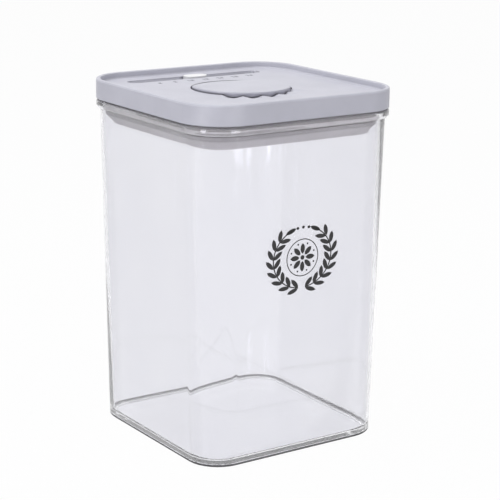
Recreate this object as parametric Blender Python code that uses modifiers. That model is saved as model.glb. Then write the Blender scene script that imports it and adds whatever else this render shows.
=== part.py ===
# Clear square storage canister with a grey airtight lid.
# Lifting the lid's round disc turns two slotted ears, which let the seal plate drop and free the gasket.
# Metres, +Z up. The origin is the middle of the base, and the front of the canister faces -Y.

import math

import bmesh
import bpy
from mathutils import Matrix, Vector

# Whole object
LID_SIDE = 0.1208
LID_CORNER = 0.0229             # radius of the lid's corners; every other outline shares their centres
GAP = 0.0003                    # clearance between pieces that touch
OVERRUN = 0.002                 # how far a cutter runs past the face that it cuts
CORNER_STEPS = 8

# Canister
CANISTER_HEIGHT = 0.1717
DRAFT = 0.0035                  # how far each wall leans out from the base to the collar
COLLAR_HEIGHT = 0.0041
COLLAR_REACH = 0.0020           # how far the collar stands out of the wall, and its lower round
WALL = 0.0024
FLOOR_LEVEL = 0.0026            # inside floor above the surface that the canister stands on
FLOOR_ROUND = 0.0026
FOOT_RECESS = 0.0006            # leaves a narrow ring to stand on
FOOT_WIDTH = 0.0032
FOOT_ROUND = 0.0014
BORE_DEPTH = 0.0130             # upright stretch of the inside wall that the gasket seals on
LEAD_IN = 0.0005

# Lid cover
SKIRT_GAP = 0.0008              # open line between the collar and the skirt
SKIRT_HEIGHT = 0.0105
SKIRT_WALL = 0.0020
SKIRT_EDGE = 0.0004
RIM_DEPTH = 0.0034              # recess of the top face inside the raised rim
RIM_WIDTH = 0.0025
RIM_ROUND = 0.0011
RIM_FILLET = 0.0012
TOP_WALL = 0.0020
WELL_WALL = 0.00135
FLUTE_COUNT = 5                 # finger flutes in the top face, in a fan before the disc
FLUTE_PITCH = math.radians(21.4)
FLUTE_DEPTH = 0.0013            # at the disc's edge
FLUTE_LENGTH = 0.0095           # from the disc's edge out to where a flute's floor meets the top face
FLUTE_RADIUS = 0.0106
FLUTE_STEPS = 8
LEDGE_WIDTH = 0.0045            # shelf under the disc's front rim, which carries the flutes' inner ends
LEDGE_WALL = 0.0012
WELL_STEPS = 56

# Lift disc
DISC_RADIUS = 0.0252
DISC_RAISE = 0.00165            # height of the disc's front half over the top face
DISC_GAP = 0.00075
DISC_SKIN = 0.0011
DISC_EDGE = 0.0008
DISC_RIM = 0.0040
FLAT_SHARE = 0.16               # share of the radius behind the middle where the disc starts to slope down
LIP_GAP = 0.00045               # scalloped lower edge of the disc's rim over the flutes' floors
LIP_MARGIN = math.radians(1.5)
DISC_STEPS = 46                 # around the disc, outside its scalloped lip

# Hinge and cam
HINGE_BACK = 0.0080             # hinge axis behind the disc's middle
HINGE_DEPTH = 0.0023            # hinge axis under the top face
OPEN_ANGLE = math.radians(40)
ROD_RADIUS = 0.0009
BARREL_WALL = 0.0008
FRAME_WALL = 0.0015
WINDOW_SHARE = 0.46             # radius of the frame's window as a share of the frame's radius
WINDOW_STEPS = 36
PLATE_DROP = 0.0025             # travel of the seal plate
CAM_REACH = 0.0055              # hinge axis to follower pin with the disc closed
FOLLOWER_RADIUS = 0.0012
EAR_WALL = 0.0018
EAR_WIDTH = 0.0024
CAM_STEPS = 10
CAP_BOSS = 0.0010               # height of the bosses between the cap and the lever frame
ARC_STEPS = 8
SADDLE_WALL = 0.0014
SADDLE_LENGTH = 0.0038

# Liner
LINER_WALL = 0.0017
LINER_LEDGE = 0.0012            # width that rests on the collar
UPSTAND_WALL = 0.0016
UPSTAND_INSET = 0.0025
LIP_DEPTH = 0.0027              # short wall that the gasket sits around
LIP_WALL = 0.0012
CUP_WALL = 0.0014

# Gasket and seal plate
PLUG_GAP = 0.0011               # seal plate to the canister's inside wall
GASKET_HEIGHT = 0.0048
GASKET_WIDTH = 0.0031
RIB_COUNT = 3
RIB_GAP = 0.0004
PLATE_HEIGHT = 0.0068
PLATE_WALL = 0.0020
PLATE_SLOPE = 0.0050            # how far the plate's side leans in from its flange to its foot
PLATE_ROUND = 0.0010
FLANGE_WALL = 0.0015
YOKE_WIDTH = 0.0120
YOKE_DEPTH = 0.0070
YOKE_TOP = 0.0025               # yoke above the follower pin
POST_RADIUS = 0.0022
POST_INSET = 0.0015             # guide posts inside the centres of the corner arcs

# Springs
WIRE_RADIUS = 0.00045
SPRING_RADIUS = 0.0036          # middle of the wire
SPRING_TURNS = 4
POINTS_PER_TURN = 10

# Screws
SHANK_RADIUS = 0.0012
HEAD_RADIUS = 0.0027
HEAD_HEIGHT = 0.0015
BOSS_WALL = 0.0016
BOSS_SHARE = 0.54               # liner screws' place along Y as a share of the well's radius
LEVER_HEAD_RADIUS = 0.0020
LEVER_HEAD_HEIGHT = 0.0009
LEVER_SHANK_RADIUS = 0.0008
LEVER_SCREW_SHARE = 0.80        # lever screws' distance from the middle as a share of the frame's radius
SCREW_STEPS = 16

# Date slider
CHANNEL_LENGTH = 0.0820
CHANNEL_WIDTH = 0.0086
CHANNEL_DEPTH = 0.0017
CHANNEL_INSET = 0.0139          # middle of the channel inside the raised rim
TROUGH_WALL = 0.0011
SLOT_WIDTH = 0.0026
KNOB_LENGTH = 0.0135
KNOB_WIDTH = 0.0079
KNOB_RISE = 0.0009              # knob's top over the top face
KNOB_ROUND = 0.0008
NECK_LENGTH = 0.0070
CLIP_LENGTH = 0.0110
CLIP_WIDTH = 0.0066
CLIP_HEIGHT = 0.0012
END_STEPS = 8

# Levels and half sides that several pieces share
lid_low = CANISTER_HEIGHT + SKIRT_GAP
lid_top = lid_low + SKIRT_HEIGHT
top_face = lid_top - RIM_DEPTH
top_under = top_face - TOP_WALL
liner_low = CANISTER_HEIGHT + GAP
liner_high = liner_low + LINER_WALL
gasket_high = liner_low - GAP
gasket_low = gasket_high - GASKET_HEIGHT
plate_high = gasket_low - GAP
plate_low = plate_high - PLATE_HEIGHT
plate_floor = plate_low + PLATE_WALL

lid_half = LID_SIDE / 2
corner_centre = lid_half - LID_CORNER
shoulder_half = lid_half - COLLAR_REACH
base_half = shoulder_half - DRAFT
bore_half = shoulder_half - WALL
plug_half = bore_half - PLUG_GAP
rim_half = lid_half - RIM_WIDTH
skirt_half = lid_half - SKIRT_WALL
liner_half = bore_half + LEAD_IN + LINER_LEDGE
gasket_inner = plug_half - GASKET_WIDTH

well_radius = DISC_RADIUS + DISC_GAP
well_outer = well_radius + WELL_WALL
cup_outer = well_radius + CUP_WALL
flute_slope = FLUTE_DEPTH / FLUTE_LENGTH
flute_half = math.sqrt(FLUTE_DEPTH * (2 * FLUTE_RADIUS - FLUTE_DEPTH))
flute_end = (FLUTE_COUNT - 1) / 2 * FLUTE_PITCH + math.asin(flute_half / well_radius)
lip_angle = flute_end + LIP_MARGIN
ledge_inner = well_radius - LEDGE_WIDTH
ledge_low = top_face - FLUTE_DEPTH - LEDGE_WIDTH * flute_slope - LEDGE_WALL
hinge_level = top_face - HINGE_DEPTH
rod_hole = ROD_RADIUS + GAP
barrel_radius = rod_hole + BARREL_WALL
disc_bottom = hinge_level + ROD_RADIUS + GAP
cap_under = top_face + DISC_RAISE - DISC_SKIN
cap_inner = DISC_RADIUS - DISC_RIM - DISC_GAP
frame_radius = cap_inner - 3 * GAP
barrel_half = math.sqrt((cap_inner - GAP) ** 2 - (HINGE_BACK + barrel_radius) ** 2)
frame_high = cap_under - CAP_BOSS - GAP
frame_low = frame_high - FRAME_WALL
follower_level = hinge_level - CAM_REACH
slot_half = FOLLOWER_RADIUS + GAP
ear_radius = slot_half + EAR_WALL
ear_inner = YOKE_WIDTH / 2 + 2 * GAP
cup_floor = hinge_level - CAM_REACH - PLATE_DROP - ear_radius - GAP
cup_low = cup_floor - CUP_WALL

post_place = corner_centre - POST_INSET
screw_x = (cup_outer + liner_half - UPSTAND_INSET - UPSTAND_WALL) / 2
screw_y = well_radius * BOSS_SHARE
lever_screw_place = frame_radius * LEVER_SCREW_SHARE
lever_screw_top = cap_under - GAP
channel_y = rim_half - CHANNEL_INSET
channel_floor = top_face - CHANNEL_DEPTH
trough_low = channel_floor - TROUGH_WALL
slide_travel = (CHANNEL_LENGTH - KNOB_LENGTH) / 2 - GAP
weld = GAP / 300
half_turn = math.pi
quarter_turn = half_turn / 2
eighth_turn = half_turn / 4


# Scene and collections
def clear_scene():
    for thing in list(bpy.data.objects):
        bpy.data.objects.remove(thing, do_unlink=True)


def new_collection(name):
    group = bpy.data.collections.new(name)
    bpy.context.scene.collection.children.link(group)
    return group


clear_scene()
parts = new_collection("storage_canister")
cutters = new_collection("cutters")


def material(name, colour, roughness, metallic=0.0, alpha=1.0, transmission=0.0):
    made = bpy.data.materials.new(name)
    made.use_nodes = True
    shader = made.node_tree.nodes["Principled BSDF"]
    shader.inputs["Base Color"].default_value = (*colour, 1.0)
    shader.inputs["Roughness"].default_value = roughness
    shader.inputs["Metallic"].default_value = metallic
    shader.inputs["Alpha"].default_value = alpha
    shader.inputs["Transmission Weight"].default_value = transmission
    return made


clear_plastic = material("clear styrene plastic", (0.93, 0.93, 0.95), 0.05, alpha=0.35, transmission=0.9)
grey_plastic = material("satin grey ABS", (0.63, 0.62, 0.69), 0.42)
inner_plastic = material("grey moulded ABS, inside", (0.50, 0.49, 0.53), 0.48)
silicone = material("grey silicone", (0.47, 0.45, 0.47), 0.6)
white_plastic = material("white ABS", (0.88, 0.88, 0.89), 0.35)
steel = material("stainless steel", (0.62, 0.62, 0.63), 0.3, metallic=1.0)


# Shapes
def mesh_object(name, bm, finish, group):
    bmesh.ops.recalc_face_normals(bm, faces=bm.faces)
    mesh = bpy.data.meshes.new(name)
    bm.to_mesh(mesh)
    bm.free()
    if finish:
        mesh.materials.append(finish)
    made = bpy.data.objects.new(name, mesh)
    group.objects.link(made)
    if group is cutters:
        made.hide_render = True
        made.display_type = 'WIRE'
    return made


def smooth(piece, angle=math.radians(35)):
    piece.data.shade_smooth()
    piece.data.set_sharp_from_angle(angle=angle)


def arc(centre, radius, start, end, steps):
    turns = [start + (end - start) * k / steps for k in range(steps + 1)]
    return [(centre[0] + radius * math.cos(t), centre[1] + radius * math.sin(t)) for t in turns]


def rounded_square(half):
    """Corners of one level of a shell: four arcs about the shared corner centres."""
    outline = []
    for quarter in range(4):
        start = quarter * quarter_turn
        side_x = 1 if quarter in (0, 3) else -1
        side_y = 1 if quarter in (0, 1) else -1
        centre = (side_x * corner_centre, side_y * corner_centre)
        outline += arc(centre, half - corner_centre, start, start + quarter_turn, CORNER_STEPS)
    return outline


def square_shell(name, profile, finish, group=parts, ring=False):
    """A profile of (half side, level) carried around the rounded square. A ring closes on itself."""
    bm = bmesh.new()
    levels = []
    for half, level in profile:
        levels.append([bm.verts.new((x, y, level)) for x, y in rounded_square(half)])
    pairs = list(zip(levels, levels[1:]))
    if ring:
        pairs.append((levels[-1], levels[0]))
    else:
        bm.faces.new(levels[0])
        bm.faces.new(levels[-1])
    count = len(levels[0])
    for low, high in pairs:
        for k in range(count):
            after = (k + 1) % count
            bm.faces.new((low[k], low[after], high[after], high[k]))
    made = mesh_object(name, bm, finish, group)
    smooth(made)
    return made


def turned(name, profile, steps, finish=None, group=parts, ring=False):
    """A profile of (radius, level), down the outer side, turned about Z."""
    mesh = bpy.data.meshes.new(name)
    edges = [(k, k + 1) for k in range(len(profile) - 1)]
    if ring:
        edges.append((len(profile) - 1, 0))
    mesh.from_pydata([(radius, 0, level) for radius, level in profile], edges, [])
    if finish:
        mesh.materials.append(finish)
    made = bpy.data.objects.new(name, mesh)
    group.objects.link(made)
    screw = made.modifiers.new("turn", 'SCREW')
    screw.axis = 'Z'
    screw.steps = steps
    screw.render_steps = steps
    screw.use_merge_vertices = True
    screw.merge_threshold = weld
    screw.use_smooth_shade = False
    if group is cutters:
        made.hide_render = True
        made.display_type = 'WIRE'
    return made


def rod(name, radius, length, steps, finish=None, group=parts):
    """A round bar along X, with its middle at the origin."""
    bm = bmesh.new()
    turn = Matrix.Rotation(quarter_turn, 4, 'Y')
    bmesh.ops.create_cone(bm, cap_ends=True, segments=steps, radius1=radius, radius2=radius, depth=length,
                          matrix=turn)
    made = mesh_object(name, bm, finish, group)
    smooth(made)
    return made


def block(name, low, high, finish=None, group=cutters):
    bm = bmesh.new()
    size = Vector(high) - Vector(low)
    middle = (Vector(high) + Vector(low)) / 2
    bmesh.ops.create_cube(bm, size=1, matrix=Matrix.Translation(middle) @ Matrix.Diagonal((*size, 1)))
    return mesh_object(name, bm, finish, group)


def outline_solid(name, outline, low, high, finish=None, group=cutters, across_x=False):
    """A flat outline made solid from low to high, along Z, or along X for an outline of (Y, Z)."""
    curve = bpy.data.curves.new(name, 'CURVE')
    curve.dimensions = '2D'
    curve.fill_mode = 'BOTH'
    curve.extrude = (high - low) / 2
    spline = curve.splines.new('POLY')
    spline.points.add(len(outline) - 1)
    for point, (x, y) in zip(spline.points, outline):
        point.co = (x, y, 0, 1)
    spline.use_cyclic_u = True
    drawn = bpy.data.objects.new(name, curve)
    group.objects.link(drawn)
    middle = (low + high) / 2
    if across_x:
        drawn.matrix_world = Matrix(((0, 0, 1, middle), (1, 0, 0, 0), (0, 1, 0, 0), (0, 0, 0, 1)))
    else:
        drawn.location = (0, 0, middle)
    bpy.context.view_layer.update()
    view = drawn.evaluated_get(bpy.context.evaluated_depsgraph_get())
    bm = bmesh.new()
    bm.from_mesh(bpy.data.meshes.new_from_object(view))
    bmesh.ops.remove_doubles(bm, verts=bm.verts, dist=weld)
    bm.transform(drawn.matrix_world)
    bpy.data.objects.remove(drawn, do_unlink=True)
    return mesh_object(name, bm, finish, group)


def pill(length, width, centre=(0, 0)):
    """Outline of a slot with round ends, along X."""
    reach = (length - width) / 2
    right = arc((centre[0] + reach, centre[1]), width / 2, -quarter_turn, quarter_turn, END_STEPS)
    left = arc((centre[0] - reach, centre[1]), width / 2, quarter_turn, 3 * quarter_turn, END_STEPS)
    return right + left


def combine(piece, tool, operation):
    step = piece.modifiers.new(operation.lower() + " " + tool.name, 'BOOLEAN')
    step.operation = operation
    step.object = tool
    step.solver = 'EXACT'


def cut(piece, *tools):
    for tool in tools:
        combine(piece, tool, 'DIFFERENCE')


def join(piece, *tools):
    for tool in tools:
        combine(piece, tool, 'UNION')


def pivot(name, place, parent=None):
    """An empty on a joint's axis. The pieces that move with it are its children."""
    made = bpy.data.objects.new(name, None)
    made.location = place
    parts.objects.link(made)
    bpy.context.view_layer.update()
    if parent:
        attach(made, parent)
    return made


def attach(piece, parent):
    bpy.context.view_layer.update()
    piece.parent = parent
    piece.matrix_parent_inverse = parent.matrix_world.inverted()


# Canister
def make_canister():
    """Drafted walls, a floor on a low standing ring, and a collar around the mouth."""
    foot_inner = base_half - FOOT_ROUND - FOOT_WIDTH
    collar_low = CANISTER_HEIGHT - COLLAR_HEIGHT
    bore_low = CANISTER_HEIGHT - BORE_DEPTH
    floor_half = base_half - WALL
    profile = [
        (foot_inner - FOOT_RECESS / 2, FOOT_RECESS),
        (foot_inner, 0),
        *arc((base_half - FOOT_ROUND, FOOT_ROUND), FOOT_ROUND, -quarter_turn, 0, 3),
        *arc((shoulder_half, collar_low + COLLAR_REACH), COLLAR_REACH, -quarter_turn, 0, 3),
        (lid_half, CANISTER_HEIGHT - LEAD_IN),
        (lid_half - LEAD_IN, CANISTER_HEIGHT),
        (bore_half + LEAD_IN, CANISTER_HEIGHT),
        (bore_half, CANISTER_HEIGHT - 2 * LEAD_IN),
        (bore_half, bore_low),
        *arc((floor_half - FLOOR_ROUND, FLOOR_LEVEL + FLOOR_ROUND), FLOOR_ROUND, 0, -quarter_turn, 3),
    ]
    return square_shell("canister_body", profile, clear_plastic)


# Lid cover
def sector(inner, outer, angle, steps):
    """Outline of a ring's sector about the front, which is -Y."""
    front = -quarter_turn
    return (arc((0, 0), outer, front - angle, front + angle, steps)
            + arc((0, 0), inner, front + angle, front - angle, steps))


def flute_level(reach, across):
    """Level of a flute's floor, for a distance out from the disc's middle and one across the flute."""
    bottom = top_face - FLUTE_DEPTH + (reach - well_radius) * flute_slope
    return bottom + FLUTE_RADIUS - math.sqrt(FLUTE_RADIUS ** 2 - across ** 2)


def make_flute(number):
    """Cutter for one finger flute: a round-bottomed groove that climbs outwards to the top face."""
    turn = (number - (FLUTE_COUNT - 1) / 2) * FLUTE_PITCH
    ahead = Vector((math.sin(turn), -math.cos(turn), 0))
    side = Vector((math.cos(turn), math.sin(turn), 0))
    half_width = flute_half + OVERRUN
    bm = bmesh.new()
    ends = []
    for reach in (ledge_inner - OVERRUN, well_radius + FLUTE_LENGTH + OVERRUN):
        section = []
        for k in range(FLUTE_STEPS + 1):
            across = half_width * math.sin((2 * k / FLUTE_STEPS - 1) * quarter_turn)
            section.append((across, flute_level(reach, across)))
        section += [(half_width, top_face + 2 * OVERRUN), (-half_width, top_face + 2 * OVERRUN)]
        ends.append([bm.verts.new(ahead * reach + side * across + Vector((0, 0, level)))
                     for across, level in section])
    for k in range(len(section)):
        after = (k + 1) % len(section)
        bm.faces.new((ends[0][k], ends[0][after], ends[1][after], ends[1][k]))
    bm.faces.new(ends[0])
    bm.faces.new(ends[1])
    return mesh_object("flute_cutter_%d" % (number + 1), bm, None, cutters)


def make_cover():
    """Skirt, raised rim and recessed top in one shell, with the disc's well and the slider's channel."""
    profile = [
        *arc((rim_half - RIM_FILLET, top_face + RIM_FILLET), RIM_FILLET, -quarter_turn, 0, 3),
        *arc((rim_half + RIM_ROUND, lid_top - RIM_ROUND), RIM_ROUND, half_turn, quarter_turn, 2),
        *arc((lid_half - RIM_ROUND, lid_top - RIM_ROUND), RIM_ROUND, quarter_turn, 0, 2),
        (lid_half, lid_low + SKIRT_EDGE),
        (lid_half - SKIRT_EDGE, lid_low),
        (skirt_half, lid_low),
        (skirt_half, top_under - SKIRT_EDGE),
        (skirt_half - SKIRT_EDGE, top_under),
    ]
    cover = square_shell("lid_cover", profile, grey_plastic)

    well_wall = turned("well_wall", [
        (well_outer, top_under + TOP_WALL / 2), (well_outer, liner_high + GAP),
        (well_radius - OVERRUN, liner_high + GAP), (well_radius - OVERRUN, top_under + TOP_WALL / 2)],
        WELL_STEPS, group=cutters, ring=True)
    join(cover, well_wall)

    saddle_half = rod_hole + SADDLE_WALL
    saddle_end = well_outer + SADDLE_LENGTH
    for side, name in ((1, "right"), (-1, "left")):
        ends = sorted((side * (well_radius - OVERRUN), side * saddle_end))
        join(cover, block("saddle_" + name, (ends[0], HINGE_BACK - saddle_half, liner_high + GAP),
                          (ends[1], HINGE_BACK + saddle_half, top_under + TOP_WALL / 2)))

    boss_radius = SHANK_RADIUS + GAP + BOSS_WALL
    for number, (x, y) in enumerate(screw_places(), 1):
        boss = turned("cover_boss_%d" % number, [
            (0, top_under + TOP_WALL / 2), (boss_radius, top_under + TOP_WALL / 2),
            (boss_radius, liner_high + GAP), (0, liner_high + GAP)], 2 * SCREW_STEPS, group=cutters)
        boss.location = (x, y, 0)
        join(cover, boss)

    well = turned("well_cutter", [(0, top_face + OVERRUN), (well_radius, top_face + OVERRUN),
                                  (well_radius, liner_high - OVERRUN), (0, liner_high - OVERRUN)],
                  WELL_STEPS, group=cutters)
    ledge = outline_solid("front_ledge", sector(ledge_inner, well_radius + WELL_WALL / 2,
                                                lip_angle - LIP_MARGIN / 2, 3 * ARC_STEPS),
                          ledge_low, top_face - GAP)
    cut(cover, well)
    join(cover, ledge)
    for number in range(FLUTE_COUNT):
        cut(cover, make_flute(number))

    for side, name in ((1, "right"), (-1, "left")):
        seat = rod("seat_cutter_" + name, rod_hole, saddle_end - SADDLE_WALL, 2 * ARC_STEPS, group=cutters)
        seat.location = (side * (saddle_end - SADDLE_WALL) / 2, HINGE_BACK, hinge_level)
        ends = sorted((0, side * (saddle_end - SADDLE_WALL)))
        mouth = block("mouth_cutter_" + name, (ends[0], HINGE_BACK - rod_hole, liner_high - OVERRUN),
                      (ends[1], HINGE_BACK + rod_hole, hinge_level))
        cut(cover, seat, mouth)

    for number, (x, y) in enumerate(screw_places(), 1):
        hole = turned("boss_hole_%d" % number, [
            (0, top_under), (SHANK_RADIUS + GAP, top_under), (SHANK_RADIUS + GAP, liner_high - OVERRUN),
            (0, liner_high - OVERRUN)], SCREW_STEPS, group=cutters)
        hole.location = (x, y, 0)
        cut(cover, hole)

    trough = outline_solid("channel_trough", pill(CHANNEL_LENGTH + 2 * TROUGH_WALL,
                                                  CHANNEL_WIDTH + 2 * TROUGH_WALL, (0, channel_y)),
                           trough_low, top_under + TOP_WALL / 2)
    channel = outline_solid("channel_cutter", pill(CHANNEL_LENGTH, CHANNEL_WIDTH, (0, channel_y)),
                            channel_floor, top_face + OVERRUN)
    slot_length = 2 * slide_travel + NECK_LENGTH + 2 * GAP
    slot = outline_solid("slot_cutter", pill(slot_length, SLOT_WIDTH, (0, channel_y)),
                         trough_low - OVERRUN, top_face)
    join(cover, trough)
    cut(cover, channel, slot)
    return cover


# Liner
def screw_places():
    return [(screw_x, screw_y), (-screw_x, screw_y), (-screw_x, -screw_y), (screw_x, -screw_y)]


def post_places():
    return [(post_place, post_place), (-post_place, post_place),
            (-post_place, -post_place), (post_place, -post_place)]


def make_liner():
    """Plate on the collar, with an upstand to the cover, a lip inside the gasket and the disc's cup."""
    upstand_outer = liner_half - UPSTAND_INSET
    upstand_inner = upstand_outer - UPSTAND_WALL
    lip_outer = gasket_inner - GAP
    profile = [
        (upstand_inner, liner_high),
        (upstand_inner, top_under - GAP),
        (upstand_outer, top_under - GAP),
        (upstand_outer, liner_high),
        (liner_half, liner_high),
        (liner_half, liner_low),
        (lip_outer, liner_low),
        (lip_outer, liner_low - LIP_DEPTH),
        (lip_outer - LIP_WALL, liner_low - LIP_DEPTH),
        (lip_outer - LIP_WALL, liner_low),
    ]
    liner = square_shell("lid_liner", profile, inner_plastic)
    cup_join = liner_high - LINER_WALL / 2
    cup = turned("cup_outside", [(0, cup_join), (cup_outer, cup_join), (cup_outer, cup_low),
                                 (0, cup_low)], WELL_STEPS, group=cutters)
    hollow = turned("cup_inside", [(0, liner_high + OVERRUN), (well_radius, liner_high + OVERRUN),
                                   (well_radius, cup_floor), (0, cup_floor)], WELL_STEPS, group=cutters)
    join(liner, cup)
    cut(liner, hollow)

    pad_low = well_outer + GAP
    pad_high = well_outer + SADDLE_LENGTH - SADDLE_WALL - GAP
    for side, name in ((1, "right"), (-1, "left")):
        ends = sorted((side * pad_low, side * pad_high))
        join(liner, block("rod_pad_" + name, (ends[0], HINGE_BACK - ROD_RADIUS, liner_low + LINER_WALL / 2),
                          (ends[1], HINGE_BACK + ROD_RADIUS, hinge_level - rod_hole)))

    yoke_half = (YOKE_WIDTH / 2 + 2 * GAP, YOKE_DEPTH / 2 + 2 * GAP)
    cut(liner, block("yoke_opening", (-yoke_half[0], HINGE_BACK - yoke_half[1], cup_low - OVERRUN),
                     (yoke_half[0], HINGE_BACK + yoke_half[1], cup_floor + OVERRUN)))
    for number, (x, y) in enumerate(post_places(), 1):
        hole = rod_hole_cutter("post_hole_%d" % number, POST_RADIUS + GAP, x, y)
        cut(liner, hole)
    for number, (x, y) in enumerate(screw_places(), 1):
        hole = rod_hole_cutter("screw_hole_%d" % number, SHANK_RADIUS + GAP, x, y)
        cut(liner, hole)
    return liner


def rod_hole_cutter(name, radius, x, y):
    """Upright cutter through the liner's plate."""
    high = liner_high + OVERRUN
    low = liner_low - OVERRUN
    made = turned(name, [(0, high), (radius, high), (radius, low), (0, low)], SCREW_STEPS, group=cutters)
    made.location = (x, y, 0)
    return made


def make_screw(name, place, head_low, head_radius, head_height, shank_radius, length):
    """Screw that is driven in from below: a domed head and a plain shank."""
    dome = head_height / 3
    made = turned(name, [
        (0, head_low + head_height + length),
        (shank_radius * 2 / 3, head_low + head_height + length),
        (shank_radius, head_low + head_height + length - shank_radius),
        (shank_radius, head_low + head_height),
        (head_radius, head_low + head_height),
        (head_radius, head_low + dome),
        (head_radius - dome, head_low),
        (0, head_low)], SCREW_STEPS, steel)
    made.location = (place[0], place[1], 0)
    return made


# Lift disc
def disc_height(y):
    """Top of the disc: level over its front half, then an easy slope down to the top face at the back."""
    start = FLAT_SHARE * DISC_RADIUS
    if y <= start:
        return top_face + DISC_RAISE
    way = min(1, (y - start) / (DISC_RADIUS - start))
    return top_face + DISC_RAISE * (1 + math.cos(half_turn * way)) / 2


def lip_level(turn):
    """Level of the disc's lower edge, for an angle from the front. In front it follows the flutes."""
    if abs(turn) > lip_angle:
        return disc_bottom
    outermost = (FLUTE_COUNT - 1) // 2
    nearest = max(-outermost, min(outermost, round(turn / FLUTE_PITCH)))
    offset = turn - nearest * FLUTE_PITCH
    floor = flute_level(DISC_RADIUS * math.cos(offset), DISC_RADIUS * math.sin(offset))
    return min(floor, top_face) + LIP_GAP


def disc_turns():
    """Angles of the disc's corners, from the front: close in the scalloped lip, wider in the rest."""
    cusps = [-flute_end]
    cusps += [(k - FLUTE_COUNT / 2) * FLUTE_PITCH for k in range(1, FLUTE_COUNT)]
    cusps.append(flute_end)
    turns = [-lip_angle]
    for start, end in zip(cusps, cusps[1:]):
        turns += [start + (end - start) * k / FLUTE_STEPS for k in range(FLUTE_STEPS)]
    turns += [flute_end, lip_angle]
    rest = 2 * (half_turn - lip_angle)
    return turns + [lip_angle + rest * k / DISC_STEPS for k in range(1, DISC_STEPS)]


def make_disc_cap():
    """Thin cap with a rounded edge, whose rim ends in front in a scalloped lip over the finger flutes."""
    bm = bmesh.new()
    turns = disc_turns()
    count = len(turns)

    def ring(radius, level_at):
        made = []
        for turn in turns:
            around = turn if turn <= half_turn else turn - 2 * half_turn
            x = radius * math.sin(turn)
            y = -radius * math.cos(turn)
            made.append(bm.verts.new((x, y, level_at(around, y))))
        return made

    edge_middle = DISC_EDGE * (1 - math.sin(eighth_turn))
    rings = [
        ring(DISC_RADIUS / 2, lambda a, y: disc_height(y)),
        ring(DISC_RADIUS * 4 / 5, lambda a, y: disc_height(y)),
        ring(DISC_RADIUS - DISC_EDGE, lambda a, y: disc_height(y)),
        ring(DISC_RADIUS - edge_middle, lambda a, y: disc_height(y) - edge_middle),
        ring(DISC_RADIUS, lambda a, y: disc_height(y) - DISC_EDGE),
        ring(DISC_RADIUS, lambda a, y: lip_level(a)),
        ring(DISC_RADIUS - DISC_RIM, lambda a, y: lip_level(a)),
        ring(cap_inner, lambda a, y: max(disc_height(y) - DISC_SKIN, disc_bottom)),
        ring(DISC_RADIUS / 2, lambda a, y: disc_height(y) - DISC_SKIN),
    ]
    for near, far in zip(rings, rings[1:]):
        for k in range(count):
            after = (k + 1) % count
            bm.faces.new((near[k], near[after], far[after], far[k]))
    for edge_ring, drop in ((rings[0], 0), (rings[-1], DISC_SKIN)):
        middle = bm.verts.new((0, 0, disc_height(0) - drop))
        for k in range(count):
            bm.faces.new((edge_ring[k], edge_ring[(k + 1) % count], middle))
    cap = mesh_object("disc_cap", bm, grey_plastic, parts)
    smooth(cap)

    boss_radius = LEVER_SHANK_RADIUS + GAP + BARREL_WALL
    for number, (x, y) in enumerate(lever_screw_places(), 1):
        boss = turned("cap_boss_%d" % number, [
            (0, cap_under + DISC_SKIN / 2), (boss_radius, cap_under + DISC_SKIN / 2),
            (boss_radius, frame_high + GAP), (0, frame_high + GAP)], SCREW_STEPS, group=cutters)
        hole = turned("cap_hole_%d" % number, [
            (0, lever_screw_top + GAP), (LEVER_SHANK_RADIUS + GAP, lever_screw_top + GAP),
            (LEVER_SHANK_RADIUS + GAP, frame_high - OVERRUN), (0, frame_high - OVERRUN)],
            SCREW_STEPS, group=cutters)
        boss.location = (x, y, 0)
        hole.location = (x, y, 0)
        join(cap, boss)
        cut(cap, hole)
    return cap


def lever_screw_places():
    side = lever_screw_place * math.sin(eighth_turn)
    return [(side, -side), (-side, -side)]


def cam_point(turn):
    """Follower's place on the lever, as (Y, Z) from the hinge, once the lever has lifted by turn."""
    reach = CAM_REACH + PLATE_DROP * turn / OPEN_ANGLE
    return reach * math.sin(turn), -reach * math.cos(turn)


def cam_slot():
    """Outline of the spiral slot: both sides of the follower's path, with round ends."""
    extra = GAP / CAM_REACH
    turns = [-extra + (OPEN_ANGLE + 2 * extra) * k / CAM_STEPS for k in range(CAM_STEPS + 1)]
    rate = PLATE_DROP / OPEN_ANGLE
    sides = ([], [])
    ends = []
    for turn in turns:
        y, z = cam_point(turn)
        reach = CAM_REACH + rate * turn
        along = Vector((rate * math.sin(turn) + reach * math.cos(turn),
                        -rate * math.cos(turn) + reach * math.sin(turn))).normalized()
        for side, offset in zip(sides, (slot_half, -slot_half)):
            side.append((HINGE_BACK + y - along.y * offset, hinge_level + z + along.x * offset))
        ends.append(((HINGE_BACK + y, hinge_level + z), math.atan2(along.y, along.x)))
    far_centre, far_angle = ends[-1]
    near_centre, near_angle = ends[0]
    far_start = far_angle + quarter_turn
    far_end = arc(far_centre, slot_half, far_start, far_start - half_turn, ARC_STEPS)
    near_start = near_angle + 3 * quarter_turn
    near_end = arc(near_centre, slot_half, near_start, near_start - half_turn, ARC_STEPS)
    return sides[0][:-1] + far_end + sides[1][::-1][1:-1] + near_end[:-1]


def ear_outline():
    """Ear around the slot, as (Y, Z): down its front side, round the slot's lower side, up its back."""
    closed_y, closed_z = cam_point(0)
    open_y, open_z = cam_point(OPEN_ANGLE)
    top = hinge_level + ROD_RADIUS
    slope = math.atan2(open_z - closed_z, open_y - closed_y)
    front = arc((HINGE_BACK + closed_y, hinge_level + closed_z), ear_radius, half_turn,
                3 * quarter_turn + slope, ARC_STEPS)
    back = arc((HINGE_BACK + open_y, hinge_level + open_z), ear_radius, 3 * quarter_turn + slope,
               2 * half_turn, ARC_STEPS)
    return [(HINGE_BACK - ear_radius, top)] + front + back + [(HINGE_BACK + open_y + ear_radius, top)]


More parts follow.
